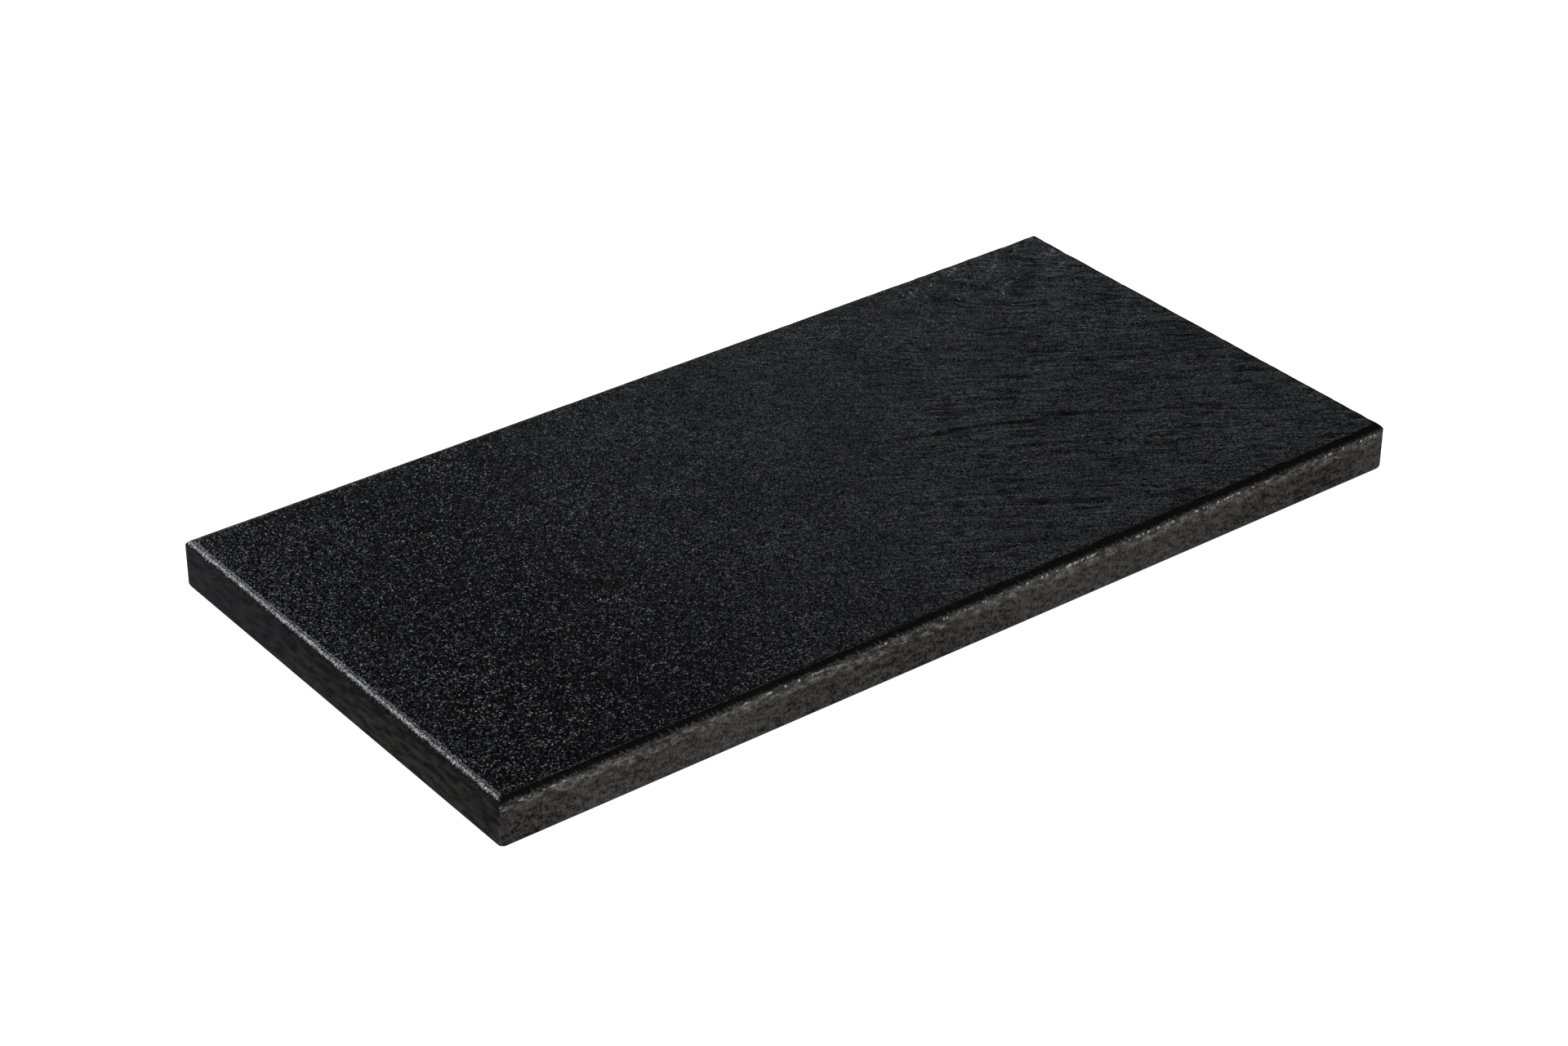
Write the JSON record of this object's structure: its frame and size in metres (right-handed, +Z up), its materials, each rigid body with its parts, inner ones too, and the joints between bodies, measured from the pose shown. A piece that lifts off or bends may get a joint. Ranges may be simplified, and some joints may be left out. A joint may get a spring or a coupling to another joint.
{
  "type": "basalt massage stone",
  "caption": "Flat rectangular slab of solid dark basalt with a textured upper face, eased rim and sawn sides, for warm stone massage.",
  "frame": {"origin": "middle of the flat underside", "axes": "+X along the length, +Y across the width, +Z up through the thickness, out of the textured upper face"},
  "size_m": [0.4, 0.2, 0.019],
  "materials": {
    "basalt": "matte"
  },
  "bodies": {
    "root": {"basalt_slab": "basalt"}
  },
  "joints": []
}
